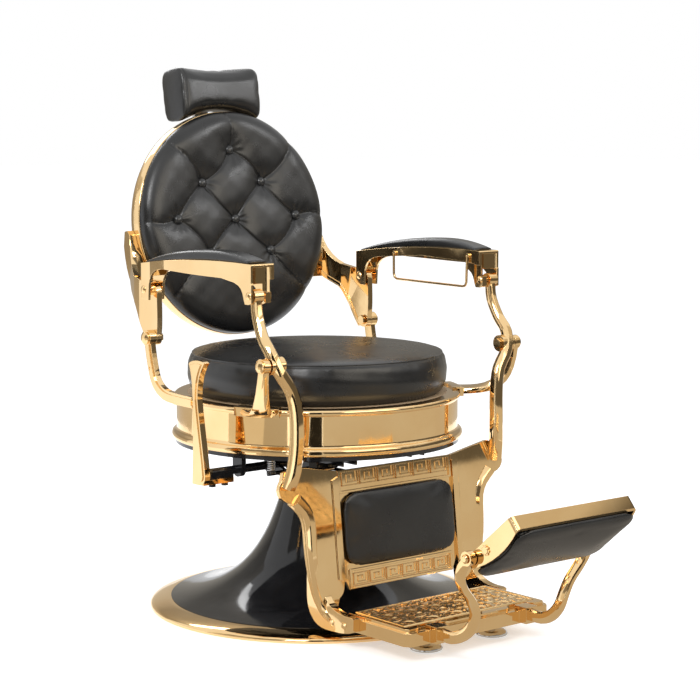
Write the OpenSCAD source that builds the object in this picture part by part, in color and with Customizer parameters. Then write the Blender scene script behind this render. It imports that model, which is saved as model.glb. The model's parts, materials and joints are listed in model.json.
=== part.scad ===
// Hydraulic barber chair with a round tufted back, a round seat and cast side frames.
// The chair faces -Y, the sitter's left is +X and the origin is on the floor, on the pedestal's axis.

/* [Base] */
// Diameter of the base ring
base_d = 660; // [640:1:700]
// Height of the pedestal cover's top
cover_h = 258; // [250:1:258]
// Stroke of the hydraulic ram
lift_stroke = 150; // [100:5:160]

/* [Seat] */
// Radius of the seat drum's wall
drum_r = 274; // [270:1:278]
// Height of the drum's top rim
drum_top = 420; // [416:1:422]
// Radius of the seat cushion at its widest
seat_r = 252; // [244:1:254]
// Height of the seat cushion's crown
seat_top = 508; // [504:1:512]

/* [Back] */
// Radius of the round back cushion
back_r = 222; // [214:1:224]
// Backward tilt of the back at rest
back_tilt = 7; // [6:0.5:8]
// Depth of the sewn tufts
tuft_depth = 19; // [8:1:22]

/* [Armrests] */
// Distance of each armrest from the middle plane
arm_x = 278; // [278:1:280]
// Width of the armrest casting
arm_w = 52; // [52:1:54]

/* [Leg frame] */
// Half width of the calf panel
panel_w = 141; // [138:1:142]
// Half width of the foot platform
platform_w = 175; // [172:1:178]
// Upward tilt of the footrest panel
footrest_tilt = 40; // [36:1:42]

/* [Hidden] */
$fn = 64;
gold = "goldenrod";
leather = "dimgray";
enamel = "black";
steel = "silver";
fit = 0.05;
gap = 0.3;

// Pivots of the side linkage, as [y, z]
back_pivot = [168, 528];
arm_rear_pivot = [172, 621];
leg_pivot = [-230, 512];
arm_front_pivot = [-183, 633];
post_x = 288;
back_arm_x = 265;
pin_r = 5;
// Footrest hinge and glide feet, as [y, z]
flip_pivot = [-597, 209];
// Base
base_r = base_d / 2;
plate_r = base_r - 44;
ring_h = 18;
plate_h = 14;
cover_wall = 4;
cover_neck_r = 62;
// Hydraulic pump
ram_r = 28;
pump_r = 46;
pump_bore = 36;
pump_top = 244;
journal_r = 20;
shoulder_z = 266;
washer_h = 4;
journal_top = 300;
piston_z = pump_top - lift_stroke - 44;
// Seat
rim_r = drum_r + 5;
lip_r = drum_r + 9;
drum_bottom = 334;
pan_z = 326;
channel_z = 306;
cushion_z = drum_top;
board_z = drum_top - 13;
seam_z = seat_top - 13;
// Angle that the back sweeps and the scallop that clears it
recline = 35;
scallop_r = 54;
scallop_w = 116;
scallop_low = recline + 17;
// Back
back_c = [256, 737];
shell_r = back_r + 5;
cushion_back = -38;
ledge_z = -48;
shell_back = -86;
// Armrests: faces towards the sitter and away, at the front and at the rear end
arm_in = arm_x - arm_w / 2;
arm_out = arm_x + arm_w / 2;
arm_rear_in = 251;
arm_rear_out = 288;
arm_wall = 5;
// Leg frame lean of the calf panel, forward at the bottom
panel_lean = 6.6;
panel_top = [-221, 314];
platform_z = 30;
platform_h = 30;
platform_front = -467;
platform_rear = -338;
rail_x = platform_w + 0.2;
rivet_y = [-276, -310];
rivet_z = 41;

function unit(v) = v / norm(v);
// Point on a cubic curve between four control points
function bez(p, t) = pow(1 - t, 3) * p[0] + 3 * pow(1 - t, 2) * t * p[1] + 3 * (1 - t) * t * t * p[2]
    + pow(t, 3) * p[3];
function bez_path(p, n) = [for (i = [0:n]) bez(p, i / n)];
// Smooth curve through a list of points
function catmull(a, b, c, d, t) = 0.5 * (2 * b + (c - a) * t + (2 * a - 5 * b + 4 * c - d) * t * t
    + (3 * b - a - 3 * c + d) * t * t * t);
function smooth_path(p, n) = let (m = len(p) - 1) concat(
    [for (i = [0:m - 1], k = [0:n - 1]) catmull(p[max(i - 1, 0)], p[i], p[i + 1], p[min(i + 2, m)], k / n)],
    [p[m]]);
// Superellipse outline with half sizes a and b; power 2 is an ellipse
function oval(a, b, power, n) = [for (i = [0:n - 1]) let (u = cos(360 * i / n), v = sin(360 * i / n))
    [a * sign(u) * pow(abs(u), 2 / power), b * sign(v) * pow(abs(v), 2 / power)]];
// Outline of a strip of half width w along a flat path
function normal(p, i) = let (d = unit(p[min(i + 1, len(p) - 1)] - p[max(i - 1, 0)])) [d[1], -d[0]];
function ribbon(p, w) = concat([for (i = [0:len(p) - 1]) p[i] + w * normal(p, i)],
    [for (i = [len(p) - 1:-1:0]) p[i] - w * normal(p, i)]);
// Outline of a cast bar with bevelled corners and a raised ridge on its outer face
function ridged(a, b) = [[a * 0.8, -b * 0.72], [a, -b * 0.42], [a * 0.92, -b * 0.3], [a * 1.1, 0],
    [a * 0.92, b * 0.3], [a, b * 0.42], [a * 0.8, b * 0.72], [a * 0.42, b], [-a * 0.42, b],
    [-a * 0.84, b * 0.66], [-a, b * 0.3], [-a, -b * 0.3], [-a * 0.84, -b * 0.66], [-a * 0.42, -b],
    [a * 0.42, -b]];

module mirrored(side) {
    if (side > 0) children();
    else mirror([1, 0, 0]) children();
}

// Cylinder along X from x to x + length, at [y, z]
module x_rod(x, length, at, r) {
    translate([x, at[0], at[1]]) rotate([0, 90, 0]) cylinder(h = length, r = r);
}

// Plate with a [y, z] outline, from x to x + thick
module side_plate(x, thick) {
    translate([x, 0, 0]) rotate([90, 0, 90]) linear_extrude(thick) children();
}

// Closed skin over rings of points, all with the same count
module skin(rings) {
    n = len(rings[0]);
    m = len(rings) - 1;
    points = [for (r = rings, p = r) p];
    sides = [for (k = [0:m - 1], i = [0:n - 1]) each [
        [k * n + i, (k + 1) * n + i, k * n + (i + 1) % n],
        [k * n + (i + 1) % n, (k + 1) * n + i, (k + 1) * n + (i + 1) % n]]];
    caps = [[for (i = [0:n - 1]) i], [for (i = [n - 1:-1:0]) m * n + i]];
    polyhedron(points = points, faces = concat(sides, caps), convexity = 8);
}

// Bar swept along a path; scales holds its size factor from the first to the last point
module swept_bar(path, outline, scales) {
    m = len(path) - 1;
    skin([for (i = [0:m]) let (
        t = unit(path[min(i + 1, m)] - path[max(i - 1, 0)]),
        s = unit([1, 0, 0] - t[0] * t),
        f = cross(t, s),
        k = scales[0] + (scales[1] - scales[0]) * i / m)
        [for (q = outline) path[i] + k * (q[0] * s + q[1] * f)]]);
}

// Crowned pad on z = 0, drawn in at its foot, with an outline of half sizes a and b
module crowned_pad(a, b, h, power, edge, n) {
    rows = 4;
    crown = 5;
    foot = edge * 0.35;
    rings = concat(
        [for (k = [0:rows]) let (t = k / rows, grow = sin(90 * t))
            [foot * (1 - grow), h * 0.5 * t]],
        [for (k = [1:crown]) let (t = k / crown)
            [edge * (1 - sqrt(1 - t * t * 0.96)), h * (0.5 + 0.32 * sin(90 * t))]]);
    inner = rings[len(rings) - 1];
    top = [for (k = [1:3]) let (t = k / 3) [inner[0] + t * (min(a, b) - inner[0]) * 0.92,
        inner[1] + (h - inner[1]) * sin(90 * t)]];
    skin([for (r = concat(rings, top)) [for (q = oval(a - r[0], b - r[0], power, n)) [q[0], q[1], r[1]]]]);
}

module base_ring() {
    color(gold) rotate_extrude($fn = 128) polygon(concat(
        [[plate_r - 10, plate_h], [plate_r + 0.2, plate_h], [plate_r + 0.2, 0], [base_r - 2, 0]],
        bez_path([[base_r - 2, 0], [base_r + 3, 9], [base_r - 9, 13], [base_r - 40, ring_h]], 10),
        [[plate_r - 10, ring_h]]));
}

module base_plate() {
    color(enamel) difference() {
        cylinder(h = plate_h, r = plate_r, $fn = 128);
        for (i = [0:3]) rotate(45 + 90 * i) translate([66, 0, -1]) cylinder(h = 16, r = 5.5);
    }
}

module pedestal_cover() {
    outer = bez_path([[plate_r + 2, ring_h + 1], [150, 38], [100, 110], [cover_neck_r, cover_h]], 22);
    inner = [for (p = outer) [p[0] - cover_wall, p[1] - cover_wall * min(1, (p[0] - cover_neck_r) / 60)]];
    color(enamel) rotate_extrude($fn = 96) polygon(concat(
        [[plate_r - 10, ring_h], [plate_r + 2, ring_h]], outer,
        [for (i = [len(inner) - 1:-1:2]) inner[i]]));
}

module pump_cylinder() {
    color(steel) difference() {
        union() {
            translate([0, 0, plate_h]) cylinder(h = 12, r = 84);
            translate([0, 0, plate_h]) cylinder(h = pump_top - plate_h, r = pump_r);
        }
        translate([0, 0, 34]) cylinder(h = pump_top, r = pump_bore);
        for (i = [0:3]) rotate(45 + 90 * i) translate([66, 0, 13]) cylinder(h = 14, r = 5.5);
    }
}

module pump_bolts() {
    color(steel) for (i = [0:3]) rotate(45 + 90 * i) translate([66, 0, 0]) {
        translate([0, 0, 2]) cylinder(h = 24, r = 5.5 - fit);
        translate([0, 0, 26]) cylinder(h = 6, r = 9, $fn = 6);
    }
}

module gland_nut() {
    color(steel) difference() {
        union() {
            translate([0, 0, pump_top]) cylinder(h = 12, r = 44, $fn = 12);
            translate([0, 0, pump_top - 16]) cylinder(h = 16, r = pump_bore);
        }
        translate([0, 0, pump_top - 17]) cylinder(h = 40, r = ram_r + fit);
        translate([0, 0, pump_top + 4]) cylinder(h = 20, r = ram_r + 5);
    }
}

module gland_seal() {
    color(enamel) translate([0, 0, pump_top + 4]) difference() {
        cylinder(h = 7, r = ram_r + 5);
        translate([0, 0, -1]) cylinder(h = 9, r = ram_r + fit);
        translate([0, 0, 4]) cylinder(h = 4, r1 = ram_r, r2 = ram_r + 4);
    }
}

module pump_ram() {
    color(steel) union() {
        translate([0, 0, piston_z]) cylinder(h = shoulder_z - piston_z, r = ram_r);
        translate([0, 0, shoulder_z - 1]) cylinder(h = journal_top - shoulder_z + 1, r = journal_r);
    }
}

module ram_piston() {
    color(steel) translate([0, 0, piston_z - 12]) difference() {
        cylinder(h = 30, r = pump_bore - fit);
        translate([0, 0, 12]) cylinder(h = 30, r = ram_r);
    }
}

module thrust_washer() {
    color("peru") translate([0, 0, shoulder_z]) difference() {
        cylinder(h = washer_h, r = ram_r + 6);
        translate([0, 0, -1]) cylinder(h = washer_h + 2, r = journal_r + fit);
    }
}

module seat_mount_neck() {
    color(enamel) difference() {
        rotate_extrude($fn = 96) polygon(concat([[0, shoulder_z + washer_h], [42, shoulder_z + washer_h]],
            bez_path([[45, 274], [45, 292], [52, 298], [96, 300]], 8), [[96, channel_z], [0, channel_z]]));
        translate([0, 0, shoulder_z]) cylinder(h = journal_top - shoulder_z + 0.5, r = journal_r + fit);
    }
}

module seat_channels() {
    color(enamel) for (x = [-84, 84]) translate([x, 0, channel_z]) difference() {
        translate([-18, -200, 0]) cube([36, 400, pan_z - channel_z]);
        translate([-14, -210, -1]) cube([28, 420, pan_z - channel_z - 4]);
    }
}

module seat_pan() {
    color(enamel) translate([0, 0, pan_z]) cylinder(h = drum_bottom - pan_z, r = drum_r + 3, $fn = 96);
}

module seat_drum() {
    color(gold) rotate_extrude($fn = 128) polygon(concat(
        [[drum_r - 6, drum_bottom], [lip_r - 3, drum_bottom]],
        bez_path([[lip_r - 3, drum_bottom], [lip_r + 1, 336], [lip_r + 1, 341], [lip_r - 1, 346]], 6),
        bez_path([[lip_r - 3, 348], [drum_r + 2, 349], [drum_r, 351], [drum_r, 355]], 5),
        [[drum_r, drum_top - 13]],
        bez_path([[drum_r + 1, drum_top - 11], [rim_r + 2, drum_top - 10], [rim_r + 1, drum_top],
            [rim_r - 6, drum_top]], 6),
        [[rim_r - 26, drum_top], [rim_r - 26, board_z], [rim_r - 42, board_z], [rim_r - 42, board_z - 5],
            [drum_r - 6, board_z - 12]]));
}

module seat_board() {
    color("burlywood") translate([0, 0, board_z]) cylinder(h = drum_top - board_z, r = rim_r - 26 - gap, $fn = 96);
}

// Whole round cushion: drawn in at its foot, a boxed side, a piped seam and a low crown
module round_cushion() {
    rotate_extrude($fn = 96) polygon(concat([[0, cushion_z]],
        bez_path([[seat_r - 14, cushion_z], [seat_r + 2, cushion_z + 8], [seat_r + 4, seam_z - 22],
            [seat_r - 6, seam_z - 3]], 9),
        [[seat_r - 3.5, seam_z - 2], [seat_r - 3, seam_z + 1], [seat_r - 6.5, seam_z + 2]],
        bez_path([[seat_r - 12, seam_z + 4], [seat_r - 40, seat_top - 1], [150, seat_top], [0, seat_top]], 8)));
}

// Room that the foot of the back sweeps through as it reclines
module back_scallop() {
    translate([-scallop_w, back_pivot[0], back_pivot[1]]) rotate([90, 0, 90]) rotate([0, 0, -scallop_low])
        rotate_extrude(angle = scallop_low + 25, $fn = 96) translate([scallop_r, 0]) square([120, 2 * scallop_w]);
}

module seat_cushion() {
    color(leather) difference() {
        round_cushion();
        back_scallop();
    }
}

module seat_cushion_rear() {
    color(leather) intersection() {
        round_cushion();
        back_scallop();
    }
}

// Horn from the drum's rim out and up to the leg hinge, outside the leg: wide at its foot, narrow at the boss
bracket_x = 301;
bracket_foot = [(rim_r + 1) * cos(28), -(rim_r + 1) * sin(28), 414];
bracket_path = bez_path([bracket_foot, bracket_foot + [38, -60, 2], [305, -218, 424], [307, -230, 505]], 10);
module front_bracket() {
    color(gold) difference() {
        union() {
            skin([for (i = [0:10]) let (
                turn = 9 * i,
                wide = (10 + 27 * pow(1 - i / 10, 1.4)) * unit([0.45 * (1 - i / 10), 0.9, 0]),
                thick = 7 * [-sin(turn), 0, cos(turn)])
                [for (q = oval(1, 1, 4, 12)) bracket_path[i] + q[0] * wide + q[1] * thick]]);
            x_rod(bracket_x, 13, leg_pivot, 14);
            rotate(-37) rotate_extrude(angle = 18, $fn = 128) polygon([[rim_r + 0.2, drum_top - 14],
                [rim_r + 8, drum_top - 14], [rim_r + 8, drum_top + 2], [rim_r + 4, drum_top + 4],
                [rim_r - 14, drum_top + 4], [rim_r - 14, drum_top], [rim_r + 0.2, drum_top]]);
        }
        x_rod(290, 30, leg_pivot, pin_r + 1 + fit);
        x_rod(290, bracket_x - 290, leg_pivot, 30);
        translate([0, 0, drum_bottom]) cylinder(h = drum_top - drum_bottom, r = rim_r + 0.2, $fn = 128);
    }
}
module front_bracket_left() mirrored(1) front_bracket();
module front_bracket_right() mirrored(-1) front_bracket();

// Curved strip from the drum up to the back hinge, with a rib on its outer face
rear_post_path = smooth_path([[24, 418], [70, 419], [116, 424], [146, 444], [160, 480], [167, 512],
    back_pivot], 4);
module rear_post() {
    color(gold) difference() {
        union() {
            side_plate(back_arm_x + 6.5, 11) polygon(ribbon(rear_post_path, 10.5));
            side_plate(back_arm_x + 17, 3) polygon(ribbon(rear_post_path, 5.5));
            x_rod(back_arm_x + 6.5, 15, back_pivot, 15);
            translate([262, 24, 408]) cube([20, 60, 20]);
        }
        translate([0, 0, drum_bottom]) cylinder(h = 200, r = rim_r + 0.2, $fn = 128);
        x_rod(back_arm_x, 30, back_pivot, pin_r + 1 + fit);
        x_rod(back_arm_x + 16, 10, [161, 470], 4);
    }
}
module rear_post_left() mirrored(1) rear_post();
module rear_post_right() mirrored(-1) rear_post();

// Domed bolt along X with its head outside and a nut inside
module hinge_bolt(x, length, at) {
    x_rod(x, length, at, pin_r + 1);
    translate([x + length, at[0], at[1]]) rotate([0, 90, 0]) intersection() {
        cylinder(h = 8, r = 12);
        translate([0, 0, -8]) sphere(r = 16);
    }
    x_rod(x - 5, 5, at, 10, $fn = 6);
}

module hinge_bolts() {
    color(gold) for (side = [-1, 1]) mirrored(side) {
        hinge_bolt(267, bracket_x - 254, leg_pivot);
        hinge_bolt(back_arm_x - 8, 30, back_pivot);
    }
}

// Hand lever and the shaft it turns under the seat
lever_at = [-80, 303];
lever_x = -335;
shaft_r = 8;

module lever_bearings() {
    color(enamel) for (x = [-250, -130]) translate([x, 0, 0]) difference() {
        union() {
            translate([-5, lever_at[0] - 14, lever_at[1]]) cube([10, 28, pan_z - lever_at[1]]);
            x_rod(-5, 10, lever_at, 14);
        }
        x_rod(-8, 16, lever_at, shaft_r + fit);
    }
}

module lever_shaft() {
    color(enamel) union() {
        x_rod(-316, 206, lever_at, shaft_r);
        translate([-322, lever_at[0] - 9, lever_at[1] - 11]) cube([52, 18, 11]);
    }
}

module hand_lever() {
    outline = concat(
        bez_path([[-58, 283], [-60, 330], [-64, 380], [-61, 440]], 8),
        bez_path([[-61, 440], [-60, 474], [-56, 490], [-50, 504]], 6),
        bez_path([[-50, 504], [-56, 512], [-90, 514], [-98, 508]], 6),
        bez_path([[-98, 508], [-84, 490], [-76, 474], [-76, 440]], 6),
        bez_path([[-76, 440], [-80, 400], [-94, 340], [-98, 300]], 8),
        bez_path([[-98, 300], [-98, 290], [-90, 283], [-82, 283]], 4));
    color(gold) union() {
        side_plate(lever_x - 6, 12) polygon(outline);
        side_plate(lever_x - 8, 16) offset(delta = -5.5) polygon(outline);
        translate([lever_x - 4, lever_at[0] - 11, 283]) cube([68, 22, 9]);
    }
}

module lever_bolts() {
    color(enamel) for (x = [-312, -284]) translate([x, lever_at[0], 277]) cylinder(h = 6, r = 7, $fn = 6);
}

module lever_crank() {
    color(enamel) difference() {
        union() {
            translate([-184, 0, 0]) rotate([90, 0, 90]) linear_extrude(8) hull() {
                translate(lever_at) circle(r = 13);
                translate([lever_at[0] - 42, lever_at[1] - 8]) circle(r = 7);
            }
            x_rod(-184, 64, [lever_at[0] - 42, lever_at[1] - 8], 4);
            x_rod(-216, 32.5, [lever_at[0] - 42, lever_at[1] - 8], 4);
            translate([-208, lever_at[0] - 42, lever_at[1] - 8]) cylinder(h = 4, r = 9);
        }
        x_rod(-190, 20, lever_at, shaft_r);
    }
}

// Coil spring from the crank's rod up to the seat pan
spring_r = 7;
spring_wire = 1.2;
spring_turns = 6;
spring_at = [-208, lever_at[0] - 42];
spring_foot = lever_at[1] - 3.7;
module lever_spring() {
    steps = spring_turns * 8;
    rise = pan_z - spring_foot - 2 * spring_wire;
    path = [for (i = [0:steps]) let (a = 360 * i / 8)
        [spring_at[0] + spring_r * cos(a), spring_at[1] + spring_r * sin(a),
            spring_foot + spring_wire + rise * i / steps]];
    echo(least_spring_gap = rise / spring_turns - 2 * spring_wire);
    color(steel) skin([for (i = [0:steps]) let (
        out = unit([path[i][0] - spring_at[0], path[i][1] - spring_at[1], 0]))
        [for (k = [0:5]) path[i] + spring_wire * (cos(60 * k) * out + [0, 0, sin(60 * k)])]]);
}

// Frame of the back disc: Z along its face normal, Y up the back
module on_back() {
    translate([0, back_c[0], back_c[1]]) rotate([90 + -back_tilt, 0, 0]) children();
}

// Height of the tufted face over the seam plane at u to the sitter's left and v up
buttons = [[0, 144], [-74, 74], [74, 74], [-148, 2], [0, 2], [148, 2], [-74, -68], [74, -68]];
pleats = concat(
    [for (s = [-1, 1]) each [[[0, 144], [s * 74, 74]], [[s * 74, 74], [s * 148, 2]], [[0, 2], [s * 74, 74]],
        [[0, 2], [s * 74, -68]], [[s * 148, 2], [s * 74, -68]], [[s * 74, 74], [s * 118, 184]],
        [[s * 148, 2], [s * 222, 2]], [[s * 74, -68], [s * 128, -156]]]],
    [[[0, 144], [0, 222]]]);
function seg_gap(p, s) = let (d = s[1] - s[0], t = max(0, min(1, (p - s[0]) * d / (d * d))))
    norm(p - s[0] - t * d);
function tuft(p) = let (
    b = min([for (q = buttons) norm(p - q)]),
    g = min([for (s = pleats) seg_gap(p, s)]))
    -tuft_depth * exp(-b * b / 500) - 7 * exp(-g * g / 90);
function face_z(p, r) = 12 * sqrt(max(0, 1 - pow(r / back_r, 4))) + tuft(p) * (1 - pow(r / back_r, 6));

function button_z(b) = face_z(b, norm(b)) - 0.5;

module back_cushion() {
    rings = 13;
    n = 64;
    side = [[back_r - 16, cushion_back], [back_r - 5, cushion_back + 6], [back_r - 1, cushion_back * 0.5],
        [back_r - 2, -8], [back_r, -2]];
    color(leather) on_back() difference() {
        skin(concat(
            [for (s = side) [for (i = [0:n - 1]) [s[0] * cos(360 * i / n), s[0] * sin(360 * i / n), s[1]]]],
            [for (k = [0:rings]) let (r = (back_r - 3) * (1 - k / (rings + 0.5)))
                [for (i = [0:n - 1]) let (p = [r * cos(360 * i / n), r * sin(360 * i / n)])
                    [p[0], p[1], face_z(p, r)]]]));
        for (b = buttons) translate([b[0], b[1], button_z(b)]) cylinder(h = 30, r = 8.3, $fn = 12);
    }
}

module back_buttons() {
    color(leather) on_back() for (b = buttons) translate([b[0], b[1], button_z(b)]) intersection() {
        cylinder(h = 6, r = 7.8, $fn = 24);
        translate([0, 0, -8]) sphere(r = 12.5, $fn = 32);
    }
}

module back_board() {
    color("burlywood") on_back() translate([0, 0, ledge_z])
        cylinder(h = cushion_back - ledge_z, r = shell_r - 4.2, $fn = 96);
}

shell_curve = bez_path([[shell_r, -34], [shell_r + 2, -54], [shell_r - 16, shell_back + 6],
    [shell_r - 90, shell_back]], 10);
module back_shell() {
    wall = 4;
    inner = [for (i = [3:10]) shell_curve[i] + wall * [-cos(9 * i), sin(9 * i)]];
    color(gold) on_back() rotate_extrude($fn = 128) polygon(concat(
        shell_curve, [[0, shell_back], [0, shell_back + wall]], [for (i = [len(inner) - 1:-1:0]) inner[i]],
        [[shell_r - 16, ledge_z], [shell_r - wall, ledge_z], [shell_r - wall, -34]]));
}

// Cast arm from the shell's side: a band that curves out in plan, then down to the back hinge
arm_low = concat(
    bez_path([[312, 694], [304, 648], [286, 616], [258, 604]], 6),
    bez_path([[240, 594], [222, 574], [208, 544], [184, 514]], 6));
arm_plan = [[back_arm_x, 130], [back_arm_x, 212], [260, 236], [248, 262], [236, 286], [231, 330]];
module back_arm_outline() {
    polygon(concat(arm_low,
        bez_path([[160, 516], [152, 530], [150, 560], [152, 600]], 6),
        bez_path([[152, 616], [156, 640], [184, 636], [206, 636]], 6),
        bez_path([[236, 642], [268, 656], [284, 690], [288, 718]], 6),
        [[296, 726], [308, 724]]));
}

// The part of a side outline that lies within a band along the arm's plan
module arm_band(half, shift) {
    intersection() {
        side_plate(200, 90) children();
        translate([shift, 0, 500]) linear_extrude(240) polygon(ribbon(arm_plan, half));
    }
}

module back_arm() {
    color(gold) difference() {
        union() {
            arm_band(6, 0) back_arm_outline();
            arm_band(6, -2.5) polygon(ribbon([for (q = arm_low) q + [-3, 5]], 3));
            intersection() {
                side_plate(196, 40) back_arm_outline();
                translate([196, 274, 500]) cube([40, 80, 240]);
            }
            x_rod(back_arm_x - 6, 12, back_pivot, 15);
            x_rod(back_arm_x - 8, 20, arm_rear_pivot, 12);
        }
        on_back() translate([0, 0, -120]) cylinder(h = 200, r = shell_r + 0.6, $fn = 128);
        x_rod(back_arm_x - 9, 24, back_pivot, pin_r + 1 + fit);
        x_rod(back_arm_x - 9, 24, arm_rear_pivot, pin_r + fit);
    }
}
module back_arm_left() mirrored(1) back_arm();
module back_arm_right() mirrored(-1) back_arm();

// Headrest: a flat bar in a socket behind the shell
bar_w = 34;
bar_t = 8;
bar_z = -100;
module headrest_socket() {
    color(gold) on_back() difference() {
        translate([-bar_w / 2 - 9, 60, bar_z - bar_t / 2 - 6]) cube([bar_w + 18, 118, bar_t + 16]);
        translate([-bar_w / 2 - gap / 2, 40, bar_z - bar_t / 2 - gap / 2])
            cube([bar_w + gap, 160, bar_t + gap]);
        rotate_extrude($fn = 128) polygon(concat(shell_curve, [[0, shell_back], [0, -34]]));
    }
}

// Plate on the bar that the pillow is fixed to
module headrest_plate() {
    translate([-44, 242, bar_z + bar_t / 2 - 1]) cube([88, 50, 9]);
}

module headrest_bar() {
    color(steel) on_back() union() {
        translate([-bar_w / 2, -40, bar_z - bar_t / 2]) cube([bar_w, 336, bar_t]);
        headrest_plate();
    }
}

// Bone-shaped pillow with flat ends, fuller at its ends than in the middle
module headrest_pillow() {
    half = 97;
    rows = 16;
    color(leather) difference() {
        translate([0, 340, 998]) rotate([-8, 0, 0]) skin([for (i = [0:rows]) let (
            u = sin(90 * (-1 + 2 * i / rows)),
            close = sqrt(1 - 0.14 * pow(abs(u), 24)),
            h = (38.5 + 14.5 * u * u) * close,
            d = (37 + 3 * u * u) * close)
            [for (q = oval(d, h, 3.6, 28)) [half * u, q[0], q[1] - 6 * u * u]]]);
        on_back() headrest_plate();
        on_back() translate([-bar_w / 2 - 1, 200, bar_z - 20]) cube([bar_w + 2, 110, 20 + bar_t / 2]);
    }
}

// Armrest casting: a channel, arched along its top, with a clevis at each end
arm_crest = bez_path([[186, 671], [60, 688], [-70, 694], [-188, 690]], 8);
module armrest_outline() {
    polygon(concat(arm_crest, [[-190, 688], [-190, 656]],
        bez_path([[-192, 652], [-200, 646], [-200, 618], [-183, 618]], 6),
        bez_path([[-172, 618], [-164, 630], [-170, 648], [-140, 655]], 6),
        bez_path([[-100, 661], [-40, 661], [20, 663], [70, 664]], 5),
        bez_path([[90, 665], [136, 664], [150, 652], [154, 632]], 6),
        bez_path([[156, 602], [174, 602], [186, 604], [187, 622]], 6)));
}

// Outline of the armrest from above, narrower to the rear; g shrinks it
module armrest_plan(g) {
    offset(delta = -g) polygon([[arm_in, -191], [arm_out, -191], [arm_out, 0], [arm_out - 7, 90],
        [arm_rear_out, 150], [arm_rear_out, 180], [arm_rear_out - 4, 186], [arm_rear_in + 4, 186],
        [arm_rear_in, 180], [arm_rear_in, 150], [arm_in, 0]]);
}

// Room between the cheeks, open at both ends for the eyes of the leg and the back arm
module armrest_channel() {
    difference() {
        union() {
            armrest_plan(arm_wall);
            translate([arm_in + 20, -230]) square([arm_w - 20 - arm_wall, 60]);
            translate([arm_rear_in + arm_wall, 150]) square([arm_rear_out - arm_rear_in - 2 * arm_wall, 80]);
        }
        translate([arm_in - 12, -196]) square([31, 50]);
    }
}

module armrest_frame() {
    color(gold) difference() {
        intersection() {
            side_plate(240, 80) armrest_outline();
            translate([0, 0, 560]) linear_extrude(160) armrest_plan(0);
        }
        intersection() {
            side_plate(240, 80) polygon(concat([for (q = arm_crest) if (abs(q[0]) < 170) q - [0, 6]],
                [[-172, 684], [-172, 654], [-230, 654], [-230, 560], [230, 560], [230, 646], [176, 646],
                    [176, 666]]));
            translate([0, 0, 560]) linear_extrude(160) armrest_channel();
        }
        side_plate(arm_in - 12, 20) polygon([[-240, 600], [-240, 654], [-150, 668], [-20, 673], [100, 664], [130, 640],
            [130, 600]]);
        translate([arm_x + 1, -203, 640]) cylinder(h = 44, r = 24);
        x_rod(arm_x - arm_w, 2 * arm_w, arm_front_pivot, pin_r + fit);
        x_rod(arm_x - arm_w, 2 * arm_w, arm_rear_pivot, pin_r + fit);
    }
}
module armrest_frame_left() mirrored(1) armrest_frame();
module armrest_frame_right() mirrored(-1) armrest_frame();

// Pad on the crest: a lens from the side, its width following the casting
module armrest_pad() {
    n = 11;
    last = len(arm_crest) - 1;
    ends = [arm_crest[0] * 0.92 + arm_crest[1] * 0.08, arm_crest[last] * 0.9 + arm_crest[last - 1] * 0.1];
    stations = concat([ends[0]], [for (i = [1:last - 1]) arm_crest[i]], [ends[1]]);
    color(leather) skin([for (q = stations) let (
        s = (q[0] + 1) / 188,
        high = 1.5 + 18.5 * (1 - pow(abs(s), 2.6)),
        right = arm_in + 2 + 3 * pow(abs(s), 8),
        left = arm_out - 2 - 15 * pow(max(0, q[0]) / 150, 1.6) - 3 * pow(abs(s), 8))
        [for (i = [0:n]) let (a = 180 * i / n)
            [(left + right) / 2 + (left - right) / 2 * sign(cos(a)) * pow(abs(cos(a)), 0.5),
            q[0], q[1] + 0.02 + high * pow(sin(a), 0.7)]]]);
}
module armrest_pad_left() mirrored(1) armrest_pad();
module armrest_pad_right() mirrored(-1) armrest_pad();

module armrest_rivets() {
    front = [arm_front_pivot, arm_in + 8, arm_out];
    rear = [arm_rear_pivot, arm_rear_in, arm_rear_out];
    color(gold) for (r = [front, rear]) {
        x_rod(r[1], r[2] - r[1], r[0], pin_r);
        for (s = [1, 2]) translate([r[s], r[0][0], r[0][1]]) rotate([0, s == 1 ? -90 : 90, 0]) intersection() {
            cylinder(h = 4, r = 8);
            translate([0, 0, -6]) sphere(r = 10);
        }
    }
}
module armrest_rivets_left() mirrored(1) armrest_rivets();
module armrest_rivets_right() mirrored(-1) armrest_rivets();

// Wire towel rail under the inner edge of the sitter's left armrest
module towel_rail() {
    x = arm_in - 4;
    wire = 2.5;
    path = [[58, 674], [57.5, 632], [55, 625], [48, 621.5], [-148, 619], [-155, 621], [-158, 627],
        [-160, 680]];
    color(gold) union() {
        swept_bar([for (q = path) [x, q[0], q[1]]], oval(wire, wire, 2, 10), [1, 1]);
        for (at = [path[0], path[7]]) x_rod(x, 3.6, at, 4);
    }
}

// Front leg casting: ridged post, gusset plate and side rail that turns into the heel
post_points = [[288, -184, 626], [288, -188, 596], [290, -206, 560], [290, -228, 534], [279, -240, 500],
    [256, -243, 466], [247, -246, 428], [246, -247, 371], [250, -243, 322], [256, -234, 290]];
column_points = [[240, -230, 266], [220, -231, 246], [209.5, -233, 222], [208.5, -236, 186], [207, -239, 150],
    [200, -241, 104], [192, -243, 76], [186, -254, 55], [184, -270, 45]];

module front_leg_gusset() {
    polygon(concat(
        [[panel_w, -8]],
        [[238, 10], [264, 2]],
        bez_path([[268, -12], [284, -28], [276, -50], [250, -55]], 6),
        bez_path([[236, -58], [222, -66], [214, -78], [212, -100]], 6),
        bez_path([[212, -150], [210, -200], [200, -236], [190, -250]], 6),
        [[160, -252]],
        bez_path([[156, -240], [144, -232], [panel_w + 1, -226], [panel_w, -200]], 5)));
}

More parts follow.
